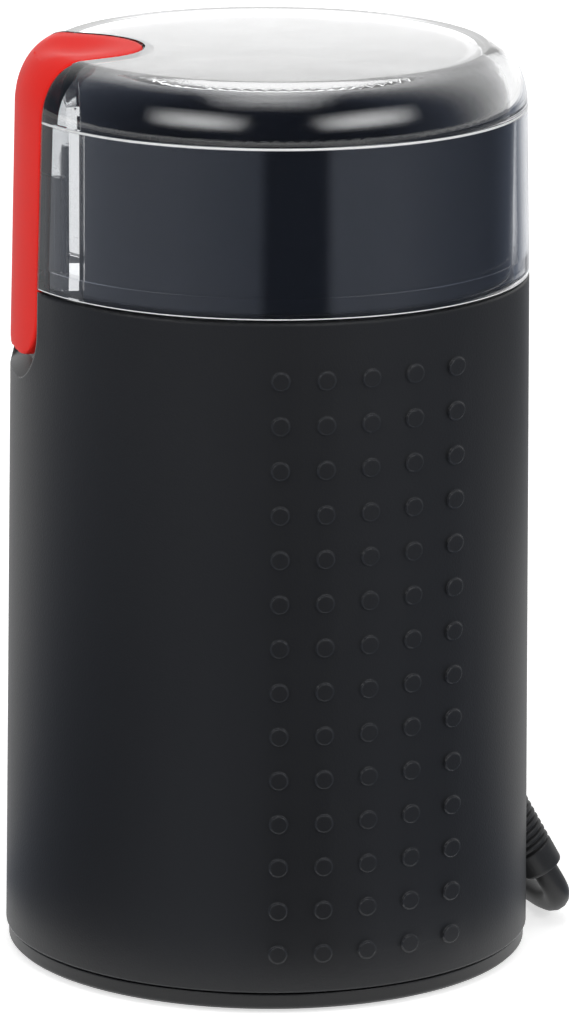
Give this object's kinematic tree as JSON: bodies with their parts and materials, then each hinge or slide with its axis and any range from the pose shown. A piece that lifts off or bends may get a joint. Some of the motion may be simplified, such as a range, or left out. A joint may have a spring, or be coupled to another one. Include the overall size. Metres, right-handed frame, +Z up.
{
  "type": "electric coffee grinder",
  "caption": "Round electric blade coffee grinder with a clear lift-off lid, a press lever that works the switch, a steel bowl with a spinning blade, a motor and a coiled mains lead.",
  "frame": {"origin": "on the floor, under the middle of the round body", "axes": "+Z up along the motor's axis, the lever towards -Y, the lead at +Y, the raised dots on the +X side"},
  "size_m": [0.1984, 0.1063, 0.1653],
  "materials": {
    "body_black": "fine-grained charcoal plastic",
    "base_black": "satin black plastic",
    "collar_black": "gloss black plastic",
    "lid_clear": "clear plastic",
    "lever_red": "satin red plastic",
    "steel": "stainless steel",
    "screw_steel": "zinc-plated steel",
    "core_steel": "laminated steel",
    "bracket_metal": "die-cast",
    "copper": "enamelled copper",
    "bronze": "sintered bronze",
    "brass": "brass",
    "carbon": "carbon",
    "rubber": "black rubber",
    "white_plastic": "moulded nylon",
    "dark_plastic": "moulded plastic",
    "capacitor_yellow": "cast resin"
  },
  "bodies": {
    "housing": {"outer_body": "body_black", "base_plate": "base_black", "rubber_feet": "rubber", "base_screws": "screw_steel", "bowl_housing": "collar_black", "housing_screws": "screw_steel", "grinding_bowl": "steel", "shaft_seal": "rubber", "return_spring": "steel", "switch_bracket": "dark_plastic", "bracket_screws": "screw_steel", "micro_switch": "dark_plastic", "switch_screws": "screw_steel", "upper_bracket": "bracket_metal", "lower_bracket": "bracket_metal", "upper_bearing": "bronze", "lower_bearing": "bronze", "motor_bolts": "screw_steel", "motor_grommets": "rubber", "mount_screws": "screw_steel", "stator_core": "core_steel", "field_coils": "copper", "brush_holders": "brass", "carbon_brushes": "carbon", "brush_springs": "steel", "brush_caps": "dark_plastic", "interference_capacitor": "capacitor_yellow", "strain_relief": "rubber", "power_cord": "rubber", "cord_coil": "rubber", "cord_tie": "dark_plastic", "plug_body": "rubber", "plug_pins": "brass"},
    "lid": {"lid": "lid_clear"},
    "lever": {"lever": "lever_red"},
    "plunger": {"switch_plunger": "white_plastic"},
    "button": {"switch_button": "lever_red"},
    "rotor": {"motor_shaft": "steel", "armature_core": "core_steel", "armature_winding": "copper", "commutator": "brass", "thrust_washers": "white_plastic", "cooling_fan": "white_plastic", "blade": "steel", "blade_nut": "steel"}
  },
  "joints": [
    {"name": "lid_lift", "type": "slide", "parent": "housing", "child": "lid", "axis": [0, 0, 1], "range_m": [0, 0.08]},
    {"name": "lever_press", "type": "slide", "parent": "lid", "child": "lever", "axis": [0, 0, -1], "range_m": [0, 0.0025], "stiffness_N_per_m": 800, "springref_m": -0.003},
    {"name": "plunger_slide", "type": "slide", "parent": "housing", "child": "plunger", "axis": [0, 0, -1], "range_m": [0, 0.0025], "deforming": ["return_spring"]},
    {"name": "button_slide", "type": "slide", "parent": "housing", "child": "button", "axis": [0, 0, -1], "range_m": [0, 0.0006]},
    {"name": "rotor_spin", "type": "hinge", "parent": "housing", "child": "rotor", "pos_m": [0, 0, 0], "axis": [0, 0, 1], "continuous": true}
  ],
  "couplings": [
    {"joint": "plunger_slide", "follows": "lever_press", "ratio": 1},
    {"joint": "button_slide", "follows": "lever_press", "ratio": 0.24}
  ]
}
